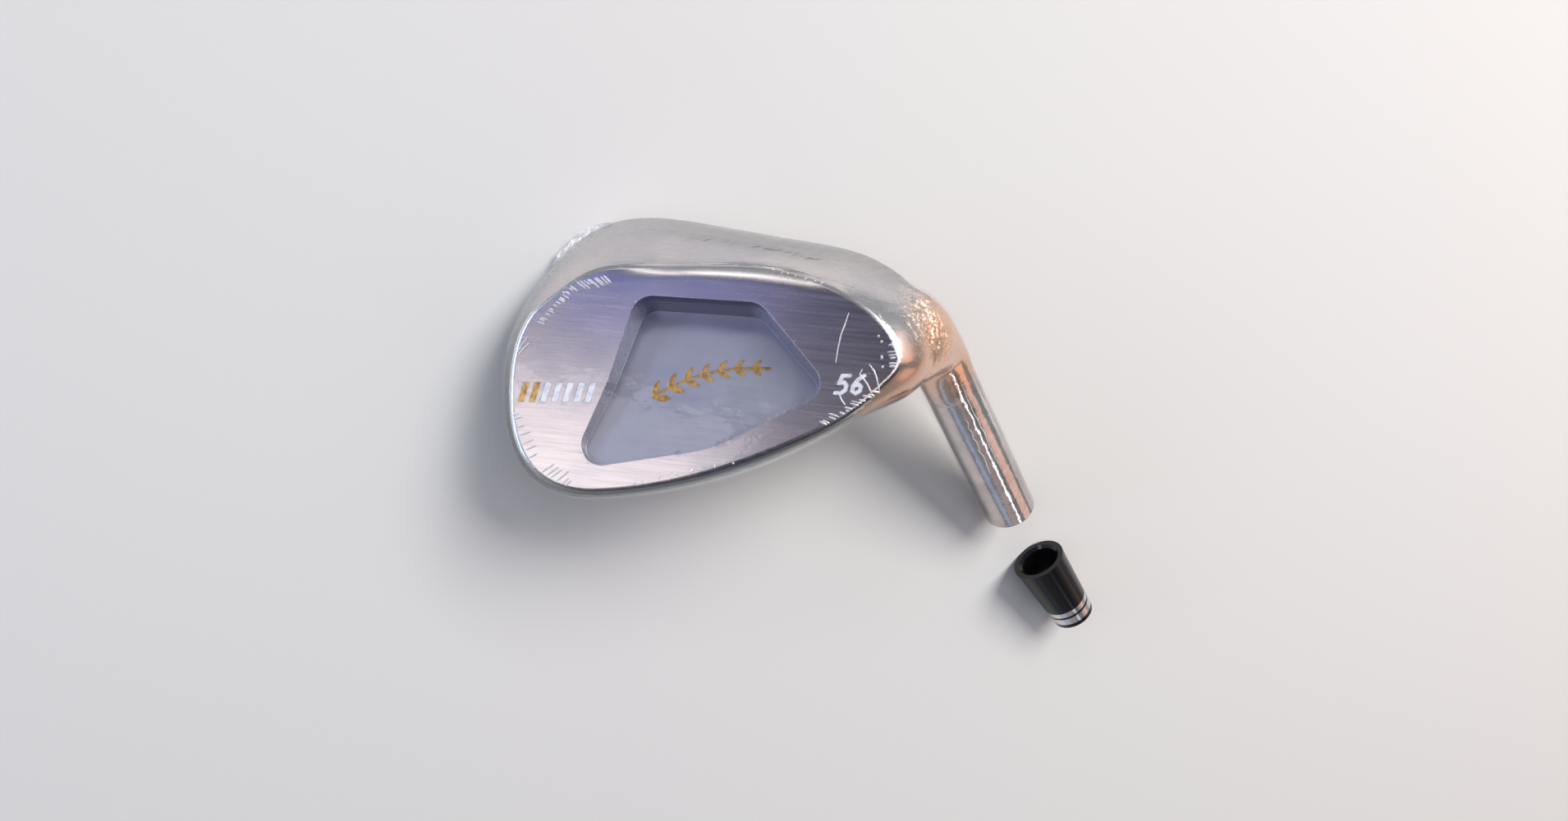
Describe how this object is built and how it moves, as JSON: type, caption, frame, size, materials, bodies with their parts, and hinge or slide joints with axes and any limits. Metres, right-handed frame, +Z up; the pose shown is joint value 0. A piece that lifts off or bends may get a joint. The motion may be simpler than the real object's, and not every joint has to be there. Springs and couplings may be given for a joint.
{
  "type": "iron golf club head with loose ferrule",
  "caption": "Forged cavity-back sand wedge head in clear shrink film, lying back side up, with an open hosel for a shaft and a loose black ferrule with silver rings beside it.",
  "frame": {"origin": "on the surface that the head lies on, under the middle of the assembly's box", "axes": "+X from the toe towards the hosel's end, +Y from the top line towards the sole, +Z up out of the surface"},
  "size_m": [0.153, 0.0926, 0.044],
  "materials": {
    "forged_steel": "satin brushed back and sole, mirror polished hosel and pocket rim, under a clear film",
    "gold_enamel": "gold paint fill in an engraved recess",
    "white_enamel": "white paint fill in an engraved recess",
    "clear_film": "thin clear shrink wrap with fine wrinkles",
    "ferrule_black": "turned and buffed black plastic",
    "ferrule_silver": "polished trim ring"
  },
  "bodies": {
    "head": {"head_body": "forged_steel", "pocket_sprig_fill": "gold_enamel", "toe_gold_fill": "gold_enamel", "toe_white_fill": "white_enamel", "loft_number_fill": "white_enamel", "shrink_film": "clear_film"},
    "ferrule": {"ferrule_barrel": "ferrule_black", "ferrule_outer_ring": "ferrule_silver", "ferrule_spacer": "ferrule_black", "ferrule_inner_ring": "ferrule_silver", "ferrule_end_cap": "ferrule_black"}
  },
  "joints": [
    {"name": "ferrule_slide", "type": "slide", "parent": "head", "child": "ferrule", "axis": [0.6845, -0.729, 0], "range_m": [-0.005, 0.035]}
  ]
}
